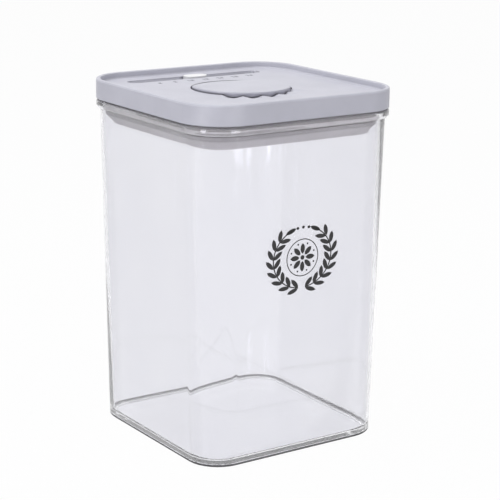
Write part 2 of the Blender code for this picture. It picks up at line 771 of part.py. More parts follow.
def make_lever_frame():
    """Round frame with the hinge barrel and two ears, each with a spiral slot for the follower pin."""
    frame = turned("lever_frame", [(0, frame_high), (frame_radius, frame_high), (frame_radius, frame_low),
                                   (0, frame_low)], WELL_STEPS, inner_plastic)
    barrel = rod("barrel", barrel_radius, 2 * barrel_half, 2 * ARC_STEPS, group=cutters)
    barrel.location = (0, HINGE_BACK, hinge_level)
    join(frame, barrel)
    ear_low = ear_inner
    ear_high = ear_inner + EAR_WIDTH
    for side, name in ((1, "right"), (-1, "left")):
        ends = sorted((side * ear_low, side * ear_high))
        join(frame, outline_solid("ear_" + name, ear_outline(), ends[0], ends[1], across_x=True))
    slot_end = ear_high + OVERRUN
    cut(frame, outline_solid("cam_slot", cam_slot(), -slot_end, slot_end, across_x=True))
    bore = rod("barrel_bore", rod_hole, 2 * (barrel_half + OVERRUN), 2 * ARC_STEPS, group=cutters)
    bore.location = (0, HINGE_BACK, hinge_level)
    back_edge = HINGE_BACK + barrel_radius + BARREL_WALL
    back = block("back_cutter", (-frame_radius - OVERRUN, back_edge, frame_low - OVERRUN),
                 (frame_radius + OVERRUN, frame_radius + OVERRUN, frame_high + OVERRUN))
    window_radius = frame_radius * WINDOW_SHARE
    window = turned("window_cutter", [(0, frame_high + OVERRUN), (window_radius, frame_high + OVERRUN),
                                      (window_radius, frame_low - OVERRUN), (0, frame_low - OVERRUN)],
                    WINDOW_STEPS, group=cutters)
    window.location = (0, HINGE_BACK - barrel_radius - BARREL_WALL - window_radius, 0)
    cut(frame, bore)
    for number, (x, y) in enumerate(lever_screw_places(), 1):
        hole = turned("frame_hole_%d" % number, [
            (0, frame_high + OVERRUN), (LEVER_SHANK_RADIUS + GAP, frame_high + OVERRUN),
            (LEVER_SHANK_RADIUS + GAP, frame_low - OVERRUN), (0, frame_low - OVERRUN)],
            SCREW_STEPS, group=cutters)
        hole.location = (x, y, 0)
        cut(frame, hole)
    cut(frame, window, back)
    return frame


# Seal plate and gasket
def make_seal_plate():
    """Shallow tray with a flange under the gasket, four guide posts and the yoke of the follower pin."""
    flange_inner = gasket_inner - GAP - LIP_WALL / 2
    wall_inner = plug_half - PLATE_WALL
    flange_low = plate_high - FLANGE_WALL
    foot_half = plug_half - PLATE_SLOPE
    lean = PLATE_SLOPE * (plate_floor - plate_low) / (flange_low - plate_low)
    profile = [
        (foot_half + lean - PLATE_WALL - PLATE_ROUND, plate_floor),
        (foot_half + lean - PLATE_WALL, plate_floor + PLATE_ROUND / 2),
        (wall_inner, flange_low),
        (flange_inner, flange_low),
        (flange_inner, plate_high),
        (plug_half, plate_high),
        (plug_half, flange_low),
        *arc((foot_half - PLATE_ROUND / 2, plate_low + PLATE_ROUND), PLATE_ROUND, 0, -quarter_turn, 3),
    ]
    plate = square_shell("seal_plate", profile, inner_plastic)
    yoke = block("yoke", (-YOKE_WIDTH / 2, HINGE_BACK - YOKE_DEPTH / 2, plate_floor - PLATE_WALL / 2),
                 (YOKE_WIDTH / 2, HINGE_BACK + YOKE_DEPTH / 2, follower_level + YOKE_TOP))
    join(plate, yoke)
    post_top = top_under - 2 * GAP
    for number, (x, y) in enumerate(post_places(), 1):
        post = turned("guide_post_%d" % number, [
            (0, post_top), (POST_RADIUS * 3 / 4, post_top), (POST_RADIUS, post_top - POST_RADIUS / 4),
            (POST_RADIUS, plate_floor - PLATE_WALL / 2), (0, plate_floor - PLATE_WALL / 2)],
            SCREW_STEPS, group=cutters)
        post.location = (x, y, 0)
        join(plate, post)
    hole = rod("pin_cutter", slot_half, YOKE_WIDTH + 2 * OVERRUN, 2 * ARC_STEPS, group=cutters)
    hole.location = (0, HINGE_BACK, follower_level)
    cut(plate, hole)
    return plate


def make_gasket():
    """Silicone ring with soft ribs that press on the canister's inside wall."""
    base = plug_half - GAP
    tip = bore_half - RIB_GAP
    pitch = GASKET_HEIGHT / RIB_COUNT
    profile = [(gasket_inner, gasket_low), (base, gasket_low)]
    for k in range(RIB_COUNT):
        middle = gasket_low + pitch * (k + 1 / 2)
        profile += [(base, middle - pitch / 3), (tip, middle - pitch / 8), (tip, middle + pitch / 8),
                    (base, middle + pitch / 3)]
    profile += [(base, gasket_high), (gasket_inner, gasket_high)]
    return square_shell("seal_gasket", profile, silicone, ring=True)


# Springs
def make_spring(name, place):
    """One unbroken wire: an even coil whose ends run straight for one wire diameter."""
    low = plate_floor + GAP + WIRE_RADIUS
    high = gasket_high - WIRE_RADIUS
    steps = SPRING_TURNS * POINTS_PER_TURN
    points = []
    for k in range(steps + 1):
        turn = 2 * half_turn * k / POINTS_PER_TURN
        points.append(Vector((SPRING_RADIUS * math.cos(turn), SPRING_RADIUS * math.sin(turn),
                              low + (high - low) * k / steps)))
    for end in (0, -1):
        centre = points[end]
        along = Vector((-centre.y, centre.x, 0)).normalized() * (-1 if end == 0 else 1)
        straight = centre + along * 2 * WIRE_RADIUS
        points.insert(0 if end == 0 else len(points), straight)
    curve = bpy.data.curves.new(name, 'CURVE')
    curve.dimensions = '3D'
    curve.bevel_depth = WIRE_RADIUS
    curve.bevel_resolution = 1
    curve.use_fill_caps = True
    spline = curve.splines.new('POLY')
    spline.points.add(len(points) - 1)
    for point, place_at in zip(spline.points, points):
        point.co = (*place_at, 1)
    curve.materials.append(steel)
    made = bpy.data.objects.new(name, curve)
    made.location = (place[0], place[1], 0)
    parts.objects.link(made)
    return made, points


def least_gap(points):
    """Least distance between the wire's skins, on points more than half a turn apart."""
    apart = POINTS_PER_TURN // 2 + 1
    least = min((points[a] - points[b]).length
                for a in range(len(points)) for b in range(a + apart, len(points)))
    return least - 2 * WIRE_RADIUS


# Date slider
def make_slider():
    """Knob that runs in the channel, with a neck through the slot, and the clip that holds it."""
    knob_low = channel_floor + GAP
    knob = outline_solid("slider_knob", pill(KNOB_LENGTH, KNOB_WIDTH, (0, channel_y)), knob_low,
                         top_face + KNOB_RISE, white_plastic, parts)
    soften = knob.modifiers.new("round edge", 'BEVEL')
    soften.width = KNOB_ROUND
    soften.segments = 2
    soften.limit_method = 'ANGLE'
    clip_high = trough_low - GAP
    neck = outline_solid("slider_neck", pill(NECK_LENGTH, SLOT_WIDTH - 2 * GAP, (0, channel_y)),
                         clip_high - CLIP_HEIGHT, top_face)
    join(knob, neck)
    clip = outline_solid("slider_clip", pill(CLIP_LENGTH, CLIP_WIDTH, (0, channel_y)),
                         clip_high - CLIP_HEIGHT, clip_high, inner_plastic, parts)
    hole = outline_solid("clip_hole", pill(NECK_LENGTH + 2 * GAP, SLOT_WIDTH, (0, channel_y)),
                         clip_high - CLIP_HEIGHT - OVERRUN, clip_high + OVERRUN)
    cut(clip, hole)
    return knob, clip


# The object
lid_pivot = pivot("lid_lift", (0, 0, CANISTER_HEIGHT))
disc_pivot = pivot("disc_lift", (0, HINGE_BACK, hinge_level), lid_pivot)
plate_pivot = pivot("seal_plate_drop", (0, 0, plate_floor), lid_pivot)
slider_pivot = pivot("date_slide", (0, channel_y, top_face), lid_pivot)

make_canister()

attach(make_cover(), lid_pivot)
attach(make_liner(), lid_pivot)
for number, place in enumerate(screw_places(), 1):
    head_low = liner_low - GAP - HEAD_HEIGHT
    screw_length = top_under - GAP - (liner_low - GAP)
    attach(make_screw("liner_screw_%d" % number, place, head_low, HEAD_RADIUS, HEAD_HEIGHT, SHANK_RADIUS,
                      screw_length), lid_pivot)

rod_half = well_outer + SADDLE_LENGTH - SADDLE_WALL - GAP
hinge_rod = rod("hinge_rod", ROD_RADIUS, 2 * rod_half, 2 * ARC_STEPS, steel)
hinge_rod.location = (0, HINGE_BACK, hinge_level)
attach(hinge_rod, lid_pivot)

attach(make_gasket(), lid_pivot)
for number, place in enumerate(post_places(), 1):
    spring, wire = make_spring("return_spring_%d" % number, place)
    attach(spring, lid_pivot)
print("least gap between a spring's curls: %.2f mm" % (least_gap(wire) / 0.001))

attach(make_disc_cap(), disc_pivot)
attach(make_lever_frame(), disc_pivot)
for number, place in enumerate(lever_screw_places(), 1):
    head_low = frame_low - GAP - LEVER_HEAD_HEIGHT
    screw_length = lever_screw_top - (frame_low - GAP)
    attach(make_screw("lever_screw_%d" % number, place, head_low, LEVER_HEAD_RADIUS, LEVER_HEAD_HEIGHT,
                      LEVER_SHANK_RADIUS, screw_length), disc_pivot)

attach(make_seal_plate(), plate_pivot)
pin_half = ear_inner + EAR_WIDTH + 2 * GAP
follower_pin = rod("follower_pin", FOLLOWER_RADIUS, 2 * pin_half, 2 * ARC_STEPS, steel)
follower_pin.location = (0, HINGE_BACK, follower_level)
attach(follower_pin, plate_pivot)

slider_knob, slider_clip = make_slider()
attach(slider_knob, slider_pivot)
attach(slider_clip, slider_pivot)
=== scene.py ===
# Clear food storage canister with a grey airtight lid: looks, print, numerals, screws and studio
import math

import bmesh
import bpy
from mathutils import Matrix, Vector


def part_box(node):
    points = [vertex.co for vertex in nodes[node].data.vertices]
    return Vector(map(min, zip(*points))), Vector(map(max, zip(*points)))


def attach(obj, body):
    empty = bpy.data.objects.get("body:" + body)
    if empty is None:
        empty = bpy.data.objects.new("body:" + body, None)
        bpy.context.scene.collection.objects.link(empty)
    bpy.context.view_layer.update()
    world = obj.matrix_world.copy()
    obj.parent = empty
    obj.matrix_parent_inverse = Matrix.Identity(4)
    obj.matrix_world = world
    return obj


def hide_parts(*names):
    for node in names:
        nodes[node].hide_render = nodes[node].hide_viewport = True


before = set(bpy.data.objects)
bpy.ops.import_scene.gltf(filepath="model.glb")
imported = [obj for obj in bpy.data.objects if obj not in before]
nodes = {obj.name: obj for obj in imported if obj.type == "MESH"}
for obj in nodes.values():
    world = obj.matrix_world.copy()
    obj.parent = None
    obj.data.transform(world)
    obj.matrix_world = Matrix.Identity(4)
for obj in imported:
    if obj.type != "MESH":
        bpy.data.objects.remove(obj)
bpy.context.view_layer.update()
mm = 0.001
mergeWithin = 0.002 * mm  # corners of the solids' loose triangles that are one point
print("frame loaded:", len(nodes), "nodes")


# Helpers for materials. A Mix node of colours has its share at 0, colours at 6 and 7, result at 2
def fromHex(code):  # sRGB hex to linear
    channels = [int(code[k:k + 2], 16) / 255 for k in (1, 3, 5)]
    return (*[c / 12.92 if c <= 0.04045 else ((c + 0.055) / 1.055) ** 2.4 for c in channels], 1)


def addNode(tree, kind, values=None, links=None, **settings):
    made = tree.nodes.new(kind)
    for name, value in settings.items():
        setattr(made, name, value)
    for socket, value in (values or {}).items():
        made.inputs[socket].default_value = value
    for socket, source in (links or {}).items():
        tree.links.new(source, made.inputs[socket])
    return made


def newMaterial(name):
    made = bpy.data.materials.new(name)
    made.use_nodes = True
    tree = made.node_tree
    shader = tree.nodes["Principled BSDF"]
    where = addNode(tree, "ShaderNodeTexCoord").outputs["Object"]
    return made, tree, shader, where


def dress(material, *names):
    for name in names:
        piece = nodes[name]
        piece.data.materials.clear()
        piece.data.materials.append(material)


middleTones = {"From Min": 0.35, "From Max": 0.65}  # where most of a noise lies

# Moulded ABS. Its grain is really near 0.1 mm and a wiping hairline 0.02 mm wide: both are drawn
# as coarse as they need to show. A wipe is how wide a hairline is, and how long
# The darker crevice colour of each ABS look is painted shade for slots and gaps
coverAbs = {"light": "#c8c8d3", "dark": "#c2c2cd", "worn": "#d3d3dc", "dustAndShade": "#7d7c86",
            "roughness": 0.42, "cloud": 22 * mm, "grain": 0.6 * mm, "relief": 0.025 * mm,
            "edge": 0.5 * mm, "reach": 2.5 * mm, "wipe": (0.5 * mm, 26 * mm, 26 * mm)}
innerAbs = {"light": "#b9b5b8", "dark": "#b0acaf", "worn": "#c4c1c4", "dustAndShade": "#858284",
            "roughness": 0.5, "cloud": 15 * mm, "grain": 0.8 * mm, "relief": 0.02 * mm,
            "edge": 0.4 * mm, "reach": 2.5 * mm, "wipe": (0.6 * mm, 18 * mm, 18 * mm)}
knobAbs = {"light": "#fafafb", "dark": "#f5f5f7", "worn": "#fcfcfd", "dustAndShade": "#f0f0f3",
           "roughness": 0.3, "cloud": 6 * mm, "grain": 0.5 * mm, "relief": 0.008 * mm,
           "edge": 0.3 * mm, "reach": 1 * mm, "wipe": (0.3 * mm, 8 * mm, 8 * mm)}
# The crevice range sets how strongly painted shade darkens slots and gaps
absWear = {"rubbedAndShaded": {"From Min": 0.995, "From Max": 0.8, "To Max": 0.7},
           "dustAndShadeRange": {"From Min": 0.86, "From Max": 0.5, "To Max": 0.85},
           "wiped": {"From Min": 0.6, "From Max": 0.7, "To Max": 0.09},
           "wipeTurn": 24, "uneven": (-0.04, 0.05), "polish": -0.12}


def mouldedAbs(name, look):
    # injection-moulded ABS from a spark-eroded tool: an even fine grain makes highlights broad and
    # soft, edges that hands touch are polished a little lighter, slots and gaps are darkened with
    # painted shade where ambient occlusion finds them, and wiping leaves faint hairlines
    made, tree, shader, where = newMaterial(name)
    cloud = addNode(tree, "ShaderNodeTexNoise", {"Scale": 1 / look["cloud"], "Detail": 3},
                    {"Vector": where})
    tone = addNode(tree, "ShaderNodeMapRange", middleTones, {"Value": cloud.outputs["Fac"]})
    body = addNode(tree, "ShaderNodeMix", {6: fromHex(look["dark"]), 7: fromHex(look["light"])},
                   {0: tone.outputs["Result"]}, data_type="RGBA")
    softened = addNode(tree, "ShaderNodeBevel", {"Radius": look["edge"]}, samples=4)
    surface = addNode(tree, "ShaderNodeNewGeometry")
    meeting = addNode(tree, "ShaderNodeVectorMath",
                      links={0: softened.outputs["Normal"], 1: surface.outputs["Normal"]},
                      operation="DOT_PRODUCT")
    edge = addNode(tree, "ShaderNodeMapRange", absWear["rubbedAndShaded"],
                   {"Value": meeting.outputs["Value"]})
    rubbedAndShaded = addNode(tree, "ShaderNodeMix", {7: fromHex(look["worn"])},
                     {0: edge.outputs["Result"], 6: body.outputs[2]}, data_type="RGBA")
    # painted shade: slots and gaps found by ambient occlusion are darkened towards the crevice
    # colour
    openness = addNode(tree, "ShaderNodeAmbientOcclusion", {"Distance": look["reach"]}, samples=8)
    creviceShade = addNode(tree, "ShaderNodeMapRange", absWear["dustAndShadeRange"],
                      {"Value": openness.outputs["AO"]})
    colour = addNode(tree, "ShaderNodeMix", {7: fromHex(look["dustAndShade"])},
                     {0: creviceShade.outputs["Result"], 6: rubbedAndShaded.outputs[2]}, data_type="RGBA")
    tree.links.new(colour.outputs[2], shader.inputs["Base Color"])

    grain = addNode(tree, "ShaderNodeTexNoise", {"Scale": 1 / look["grain"], "Detail": 2},
                    {"Vector": where})
    wipeTurn = (0, 0, math.radians(absWear["wipeTurn"]))
    wiped = addNode(tree, "ShaderNodeMapping", {"Rotation": wipeTurn, "Scale": look["wipe"]},
                    {"Vector": where}, vector_type="TEXTURE")
    hairs = addNode(tree, "ShaderNodeTexNoise", {"Scale": 1, "Detail": 3},
                    {"Vector": wiped.outputs["Vector"]})
    hairline = addNode(tree, "ShaderNodeMapRange", absWear["wiped"],
                       {"Value": hairs.outputs["Fac"]})
    smoothest, roughest = (look["roughness"] + part for part in absWear["uneven"])
    rough = addNode(tree, "ShaderNodeMapRange",
                    {**middleTones, "To Min": smoothest, "To Max": roughest},
                    {"Value": grain.outputs["Fac"]})
    marked = addNode(tree, "ShaderNodeMath", operation="ADD",
                     links={0: rough.outputs["Result"], 1: hairline.outputs["Result"]})
    polished = addNode(tree, "ShaderNodeMath", {1: absWear["polish"]}, operation="MULTIPLY_ADD",
                       links={0: edge.outputs["Result"], 2: marked.outputs[0]})
    tree.links.new(polished.outputs[0], shader.inputs["Roughness"])
    bump = addNode(tree, "ShaderNodeBump", {"Strength": 0.5, "Distance": look["relief"]},
                   {"Height": grain.outputs["Fac"]})
    tree.links.new(bump.outputs["Normal"], shader.inputs["Normal"])
    return made


# Silicone. A dust speck is really near 0.1 mm and is drawn as coarse as it needs to show
silicone = {"light": "#c4c1c2", "dark": "#b8b5b6", "shade": "#8d898a", "dustAndShade": "#d6d4d4",
            "roughness": 0.62, "uneven": (-0.05, 0.08), "ior": 1.41, "sheen": 0.1,
            "cloud": 9 * mm, "speck": 0.5 * mm, "relief": 0.01 * mm,
            "rib": 1.6 * mm, "low": 166.9 * mm,  # a rib's height, and the level of the lowest
            "grooved": {"From Min": 0.45, "From Max": 0, "To Max": 0.75},
            "dustAndShadeRange": {"From Min": 0.62, "From Max": 0.7, "To Max": 0.6}}
waveRate = 20  # radians that a Wave texture at scale 1 turns in a metre


def mouldedSilicone(look):
    # compression-moulded silicone rubber: matt and a little waxy, ribbed round its height so that
    # it grips the wall, with shade in the grooves and fine pale dust
    made, tree, shader, where = newMaterial("grey_silicone")
    cloud = addNode(tree, "ShaderNodeTexNoise", {"Scale": 1 / look["cloud"], "Detail": 3},
                    {"Vector": where})
    tone = addNode(tree, "ShaderNodeMapRange", middleTones, {"Value": cloud.outputs["Fac"]})
    body = addNode(tree, "ShaderNodeMix", {6: fromHex(look["dark"]), 7: fromHex(look["light"])},
                   {0: tone.outputs["Result"]}, data_type="RGBA")
    phase = -math.tau * look["low"] / look["rib"]
    ribs = addNode(tree, "ShaderNodeTexWave",
                   {"Scale": math.tau / (waveRate * look["rib"]), "Phase Offset": phase},
                   {"Vector": where}, bands_direction="Z")
    groove = addNode(tree, "ShaderNodeMapRange", look["grooved"], {"Value": ribs.outputs["Fac"]})
    ribbed = addNode(tree, "ShaderNodeMix", {7: fromHex(look["shade"])},
                     {0: groove.outputs["Result"], 6: body.outputs[2]}, data_type="RGBA")
    specks = addNode(tree, "ShaderNodeTexNoise", {"Scale": 1 / look["speck"], "Detail": 1},
                     {"Vector": where})
    dustAndShade = addNode(tree, "ShaderNodeMapRange", look["dustAndShadeRange"], {"Value": specks.outputs["Fac"]})
    colour = addNode(tree, "ShaderNodeMix", {7: fromHex(look["dustAndShade"])},
                     {0: dustAndShade.outputs["Result"], 6: ribbed.outputs[2]}, data_type="RGBA")
    tree.links.new(colour.outputs[2], shader.inputs["Base Color"])
    smoothest, roughest = (look["roughness"] + part for part in look["uneven"])
    rough = addNode(tree, "ShaderNodeMapRange",
                    {**middleTones, "To Min": smoothest, "To Max": roughest},
                    {"Value": specks.outputs["Fac"]})
    tree.links.new(rough.outputs["Result"], shader.inputs["Roughness"])
    bump = addNode(tree, "ShaderNodeBump", {"Strength": 0.4, "Distance": look["relief"]},
                   {"Height": specks.outputs["Fac"]})
    tree.links.new(bump.outputs["Normal"], shader.inputs["Normal"])
    shader.inputs["Sheen Weight"].default_value = look["sheen"]
    shader.inputs["IOR"].default_value = look["ior"]
    return made


# Clear plastic. A scuff is really 0.02 mm wide and is drawn as coarse as it needs to show. The
# foot is the ring past 14 mm from the corners' centres, and lower than 1.6 mm
# The foot's near-black and the rim's grey are painted shade
styrene = {"light": "#f6f6f9", "dark": "#f0f0f5", "rubbedAndShaded": "#0e0d10", "edge": "#85848d",
           "ior": 1.5, "polish": 0.01, "frost": 0.7, "opacity": 0.93,
           "cloud": 40 * mm, "flow": 45 * mm, "wave": 0.01 * mm,
           "scuff": (0.5 * mm, 0.5 * mm, 24 * mm),
           "scuffed": {"From Min": 0.68, "From Max": 0.76, "To Max": 0.06},
           "centre": (37.5 * mm, 37.5 * mm, 1), "footPast": 14 * mm, "footHeight": 1.6 * mm,
           "rimLevel": 171.3 * mm}


def clearStyrene(look):
    # injection-moulded in a polished tool: glass-clear with a cool tint, faint flow waves in the
    # walls, fine upright hairlines, a frosted foot ring tinted near-black as painted shade, and a
    # rim tinted grey as painted shade for a wall seen end on. Lamps reach what is behind the walls
    made, tree, shader, where = newMaterial("clear_styrene")
    cloud = addNode(tree, "ShaderNodeTexNoise", {"Scale": 1 / look["cloud"], "Detail": 2},
                    {"Vector": where})
    clear = addNode(tree, "ShaderNodeMix", {6: fromHex(look["dark"]), 7: fromHex(look["light"])},
                    {0: cloud.outputs["Fac"]}, data_type="RGBA")
    height = addNode(tree, "ShaderNodeSeparateXYZ", links={"Vector": where})
    mirrored = addNode(tree, "ShaderNodeVectorMath", links={0: where}, operation="ABSOLUTE")
    beyond = addNode(tree, "ShaderNodeVectorMath", {1: look["centre"]}, {0: mirrored.outputs[0]},
                     operation="SUBTRACT")
    outside = addNode(tree, "ShaderNodeVectorMath", {1: (0, 0, 0)}, {0: beyond.outputs[0]},
                      operation="MAXIMUM")
    reach = addNode(tree, "ShaderNodeVectorMath", links={0: outside.outputs[0]},
                    operation="LENGTH")
    ring = addNode(tree, "ShaderNodeMath", {1: look["footPast"]}, {0: reach.outputs["Value"]},
                   operation="GREATER_THAN")
    low = addNode(tree, "ShaderNodeMath", {1: look["footHeight"]}, {0: height.outputs["Z"]},
                  operation="LESS_THAN")
    foot = addNode(tree, "ShaderNodeMath", links={0: ring.outputs[0], 1: low.outputs[0]},
                   operation="MULTIPLY")
    # painted shade: the clear wall above the rim level is tinted grey
    rim = addNode(tree, "ShaderNodeMath", {1: look["rimLevel"]}, {0: height.outputs["Z"]},
                  operation="GREATER_THAN")
    rimShade = addNode(tree, "ShaderNodeMix", {7: fromHex(look["edge"])},
                    {0: rim.outputs[0], 6: clear.outputs[2]}, data_type="RGBA")
    # painted shade: the foot ring is tinted near-black
    colour = addNode(tree, "ShaderNodeMix", {7: fromHex(look["rubbedAndShaded"])},
                     {0: foot.outputs[0], 6: rimShade.outputs[2]}, data_type="RGBA")
    tree.links.new(colour.outputs[2], shader.inputs["Base Color"])
    stretched = addNode(tree, "ShaderNodeMapping", {"Scale": look["scuff"]}, {"Vector": where},
                        vector_type="TEXTURE")
    hairs = addNode(tree, "ShaderNodeTexNoise", {"Scale": 1, "Detail": 2},
                    {"Vector": stretched.outputs["Vector"]})
    hairline = addNode(tree, "ShaderNodeMapRange", look["scuffed"],
                       {"Value": hairs.outputs["Fac"]})
    frosted = addNode(tree, "ShaderNodeMapRange",
                      {"To Min": look["polish"], "To Max": look["frost"]},
                      {"Value": foot.outputs[0]})
    rough = addNode(tree, "ShaderNodeMath", operation="ADD",
                    links={0: hairline.outputs["Result"], 1: frosted.outputs["Result"]})
    tree.links.new(rough.outputs[0], shader.inputs["Roughness"])
    flow = addNode(tree, "ShaderNodeTexNoise", {"Scale": 1 / look["flow"], "Detail": 1},
                   {"Vector": where})
    bump = addNode(tree, "ShaderNodeBump", {"Strength": 0.3, "Distance": look["wave"]},
                   {"Height": flow.outputs["Fac"]})
    tree.links.new(bump.outputs["Normal"], shader.inputs["Normal"])
    shader.inputs["Transmission Weight"].default_value = 1
    shader.inputs["IOR"].default_value = look["ior"]
    shader.inputs["Alpha"].default_value = look["opacity"]
    path = addNode(tree, "ShaderNodeLightPath")
    passing = addNode(tree, "ShaderNodeBsdfTransparent", {"Color": fromHex(look["light"])})
    wall = addNode(tree, "ShaderNodeMixShader",
                   links={0: path.outputs["Is Shadow Ray"], 1: shader.outputs[0],
                          2: passing.outputs[0]})
    tree.links.new(wall.outputs[0], tree.nodes["Material Output"].inputs["Surface"])
    return made


# Metals. A drawing or grinding line is really 0.02 mm wide, drawn as coarse as it needs to show
drawnWire = {"light": "#c9c8c6", "dark": "#a8a7a6", "roughness": 0.26,
             "line": (0.15 * mm, 0.15 * mm, 4 * mm)}
groundRod = {"light": "#cfcecd", "dark": "#b3b2b1", "roughness": 0.2,
             "line": (0.2 * mm, 5 * mm, 5 * mm)}
zincScrew = {"light": "#cdccca", "dark": "#aeb0b4", "roughness": 0.32,
             "line": (0.9 * mm, 0.9 * mm, 0.9 * mm)}
metalWear = {"uneven": (-0.06, 0.08), "relief": 0.01 * mm}


def metalFinish(name, look):
    # spring wire is drawn, pins are ground across their axis and screws are zinc plated: the noise
    # is stretched along the drawing, squeezed along the grinding and even on the plating
    made, tree, shader, where = newMaterial(name)
    stretched = addNode(tree, "ShaderNodeMapping", {"Scale": look["line"]}, {"Vector": where},
                        vector_type="TEXTURE")
    lines = addNode(tree, "ShaderNodeTexNoise", {"Scale": 1, "Detail": 3},
                    {"Vector": stretched.outputs["Vector"]})
    tone = addNode(tree, "ShaderNodeMapRange", middleTones, {"Value": lines.outputs["Fac"]})
    colour = addNode(tree, "ShaderNodeMix", {6: fromHex(look["dark"]), 7: fromHex(look["light"])},
                     {0: tone.outputs["Result"]}, data_type="RGBA")
    tree.links.new(colour.outputs[2], shader.inputs["Base Color"])
    smoothest, roughest = (look["roughness"] + part for part in metalWear["uneven"])
    rough = addNode(tree, "ShaderNodeMapRange",
                    {**middleTones, "To Min": smoothest, "To Max": roughest},
                    {"Value": lines.outputs["Fac"]})
    tree.links.new(rough.outputs["Result"], shader.inputs["Roughness"])
    bump = addNode(tree, "ShaderNodeBump", {"Strength": 0.3, "Distance": metalWear["relief"]},
                   {"Height": lines.outputs["Fac"]})
    tree.links.new(bump.outputs["Normal"], shader.inputs["Normal"])
    shader.inputs["Metallic"].default_value = 1
    return made


# Ink. A screen's threads are really 0.1 mm apart, drawn as coarse as they need to show
blackInk = {"light": "#232225", "dark": "#151416", "roughness": 0.4, "uneven": (-0.08, 0.08),
            "thin": 1.6 * mm, "thread": 0.35 * mm, "relief": 0.01 * mm}


def screenInk(look):
    # solvent ink pressed through a fabric screen: dense black, with faint woven relief and thin
    # spots
    made, tree, shader, where = newMaterial("screen_printed_ink")
    thin = addNode(tree, "ShaderNodeTexNoise", {"Scale": 1 / look["thin"], "Detail": 4},
                   {"Vector": where})
    tone = addNode(tree, "ShaderNodeMapRange", {"From Min": 0.4, "From Max": 0.7},
                   {"Value": thin.outputs["Fac"]})
    colour = addNode(tree, "ShaderNodeMix", {6: fromHex(look["dark"]), 7: fromHex(look["light"])},
                     {0: tone.outputs["Result"]}, data_type="RGBA")
    tree.links.new(colour.outputs[2], shader.inputs["Base Color"])
    weave = addNode(tree, "ShaderNodeTexVoronoi", {"Scale": 1 / look["thread"], "Randomness": 0},
                    {"Vector": where})
    smoothest, roughest = (look["roughness"] + part for part in look["uneven"])
    rough = addNode(tree, "ShaderNodeMapRange",
                    {"From Max": 0.7, "To Min": smoothest, "To Max": roughest},
                    {"Value": weave.outputs["Distance"]})
    tree.links.new(rough.outputs["Result"], shader.inputs["Roughness"])
    bump = addNode(tree, "ShaderNodeBump", {"Strength": 0.3, "Distance": look["relief"]},
                   {"Height": weave.outputs["Distance"]})
    tree.links.new(bump.outputs["Normal"], shader.inputs["Normal"])
    return made


finishes = {"cover": mouldedAbs("satin_grey_ABS", coverAbs),
            "inner": mouldedAbs("inner_grey_ABS", innerAbs),
            "knob": mouldedAbs("white_ABS", knobAbs),
            "silicone": mouldedSilicone(silicone),
            "clear": clearStyrene(styrene),
            "wire": metalFinish("drawn_spring_wire", drawnWire),
            "rod": metalFinish("ground_steel", groundRod),
            "screw": metalFinish("zinc_plated_steel", zincScrew),
            "ink": screenInk(blackInk)}
dress(finishes["clear"], "canister_body")
dress(finishes["cover"], "lid_cover", "disc_cap")
dress(finishes["inner"], "lid_liner", "seal_plate", "lever_frame", "slider_clip")
dress(finishes["silicone"], "seal_gasket")
dress(finishes["knob"], "slider_knob")
dress(finishes["rod"], "hinge_rod", "follower_pin")
dress(finishes["wire"], *[name for name in nodes if "spring" in name])
dress(finishes["screw"], *[name for name in nodes if "screw" in name])
print("materials made:", len(finishes))


# Helpers for modelling
def deselectAll():
    for thing in bpy.context.selected_objects:
        thing.select_set(False)


def pick(*pieces):  # in object mode, select these alone, with the first active
    deselectAll()
    for piece in pieces:
        piece.select_set(True)
    bpy.context.view_layer.objects.active = pieces[0]


def choose(piece, test):  # in edit mode, select the corners that pass the test and nothing else
    mesh = bmesh.from_edit_mesh(piece.data)
    for part in (*mesh.verts, *mesh.edges, *mesh.faces):
        part.select = False
    for corner in mesh.verts:
        corner.select = test(corner.co)
    mesh.select_flush_mode()
    bmesh.update_edit_mesh(piece.data)


def copyOf(piece, place=(0, 0, 0), turn=0):
    made = piece.copy()
    made.data = piece.data.copy()
    bpy.context.scene.collection.objects.link(made)
    made.location = place
    made.rotation_euler = (0, 0, turn)
    return made


def joinAll(name, pieces):
    pick(*pieces)
    bpy.ops.object.transform_apply(location=True, rotation=True, scale=True)
    bpy.ops.object.join()
    made = bpy.context.object
    made.name = name
    return made


def applyModifiers(piece):
    pick(piece)
    for step in list(piece.modifiers):
        bpy.ops.object.modifier_apply(modifier=step.name)


def finishPiece(piece, finish, body):
    pick(piece)
    bpy.ops.object.transform_apply(location=True, rotation=True, scale=True)
    piece.data.materials.clear()
    piece.data.materials.append(finish)
    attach(piece, body)


def surfacePoint(piece, start, way):  # where a straight line first meets a piece
    return piece.ray_cast(start, way)[1]


# Main mouldings: merged copies with smooth curved faces and true flats, in place of CAD facets.
# Each has its finish, body and slot
mouldings = {"canister_body": ("clear", "canister", "clear_plastic"),
             "lid_cover": ("cover", "lid", "grey_plastic"),
             "lid_liner": ("inner", "lid", "inner_plastic"),
             "seal_gasket": ("silicone", "lid", "silicone"),
             "seal_plate": ("inner", "seal_plate", "inner_plastic"),
             "disc_cap": ("cover", "lift_disc", "grey_plastic"),
             "slider_knob": ("knob", "date_slider", "white_plastic")}
smoothing = {"flatWithin": 0.05, "smoothUpTo": 28}  # degrees between neighbouring faces


